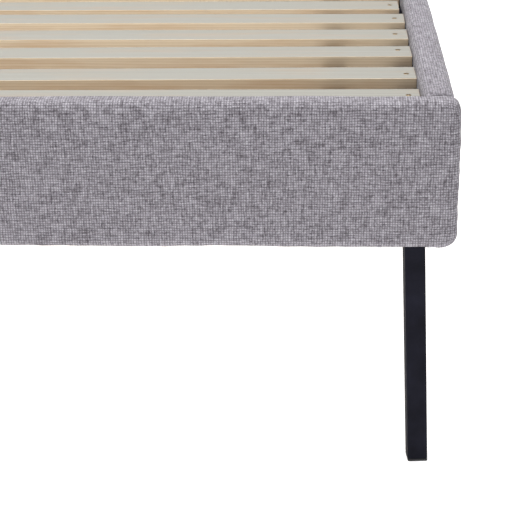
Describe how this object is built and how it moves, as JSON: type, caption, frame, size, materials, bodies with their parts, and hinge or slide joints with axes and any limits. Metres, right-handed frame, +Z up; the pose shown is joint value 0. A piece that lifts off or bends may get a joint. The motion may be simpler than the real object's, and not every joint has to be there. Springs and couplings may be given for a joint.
{
  "type": "bed frame",
  "caption": "Upholstered bed frame with padded fabric rails, splayed square steel legs, pine slats on steel ledges, and a centre beam on legs with screw levellers.",
  "frame": {"origin": "on the floor, under the middle of the bed", "axes": "+X to the right as seen from the foot end, +Y towards the head end, +Z up"},
  "size_m": [1.486, 2.076, 0.42],
  "materials": {
    "cover_fabric": "plain-weave linen-look upholstery fabric in mixed light and dark grey yarns over thin foam, matt",
    "rail_board": "raw particle board, matt",
    "slat_pine": "planed unfinished pine with small knots, edges eased",
    "strap_webbing": "woven polypropylene webbing, dark grey",
    "black_steel": "black powder coat with a fine grain, satin",
    "zinc_steel": "bright zinc plating on rolled thread",
    "black_plastic": "moulded black polyethylene, matt"
  },
  "bodies": {
    "frame": {"foot_rail_core": "rail_board", "foot_rail_cover": "cover_fabric", "right_rail_core": "rail_board", "right_rail_cover": "cover_fabric", "head_rail_core": "rail_board", "head_rail_cover": "cover_fabric", "left_rail_core": "rail_board", "left_rail_cover": "cover_fabric", "slat_01": "slat_pine", "slat_02": "slat_pine", "slat_03": "slat_pine", "slat_04": "slat_pine", "slat_05": "slat_pine", "slat_06": "slat_pine", "slat_07": "slat_pine", "slat_08": "slat_pine", "slat_09": "slat_pine", "slat_10": "slat_pine", "slat_11": "slat_pine", "slat_12": "slat_pine", "slat_13": "slat_pine", "slat_14": "slat_pine", "slat_15": "slat_pine", "slat_16": "slat_pine", "slat_17": "slat_pine", "slat_18": "slat_pine", "slat_19": "slat_pine", "slat_20": "slat_pine", "slat_21": "slat_pine", "slat_22": "slat_pine", "slat_23": "slat_pine", "slat_24": "slat_pine", "left_slat_strap": "strap_webbing", "left_slat_ledge": "black_steel", "right_slat_strap": "strap_webbing", "right_slat_ledge": "black_steel", "leg_foot_left": "black_steel", "leg_plug_foot_left": "black_plastic", "corner_bracket_foot_left": "black_steel", "leg_foot_right": "black_steel", "leg_plug_foot_right": "black_plastic", "corner_bracket_foot_right": "black_steel", "leg_head_left": "black_steel", "leg_plug_head_left": "black_plastic", "corner_bracket_head_left": "black_steel", "leg_head_right": "black_steel", "leg_plug_head_right": "black_plastic", "corner_bracket_head_right": "black_steel", "center_beam": "black_steel", "beam_hanger_foot": "black_steel", "beam_hanger_head": "black_steel", "center_leg_1": "black_steel", "leveller_insert_1": "black_plastic", "center_leg_2": "black_steel", "leveller_insert_2": "black_plastic"},
    "leveller_pad_1": {"leveller_pad_1": "black_plastic"},
    "leveller_screw_1": {"leveller_screw_1": "zinc_steel"},
    "leveller_pad_2": {"leveller_pad_2": "black_plastic"},
    "leveller_screw_2": {"leveller_screw_2": "zinc_steel"}
  },
  "joints": [
    {"name": "leveller_height_1", "type": "slide", "parent": "frame", "child": "leveller_pad_1", "axis": [0, 0, -1], "range_m": [0, 0.015]},
    {"name": "leveller_turn_1", "type": "hinge", "parent": "leveller_pad_1", "child": "leveller_screw_1", "pos_m": [0, -0.35, 0.03], "axis": [0, 0, -1], "range_deg": [0, 4325]},
    {"name": "leveller_height_2", "type": "slide", "parent": "frame", "child": "leveller_pad_2", "axis": [0, 0, -1], "range_m": [0, 0.015]},
    {"name": "leveller_turn_2", "type": "hinge", "parent": "leveller_pad_2", "child": "leveller_screw_2", "pos_m": [0, 0.35, 0.03], "axis": [0, 0, -1], "range_deg": [0, 4325]}
  ],
  "couplings": [
    {"joint": "leveller_turn_1", "follows": "leveller_height_1", "rad_per_m": 5026.5},
    {"joint": "leveller_turn_2", "follows": "leveller_height_2", "rad_per_m": 5026.5}
  ]
}
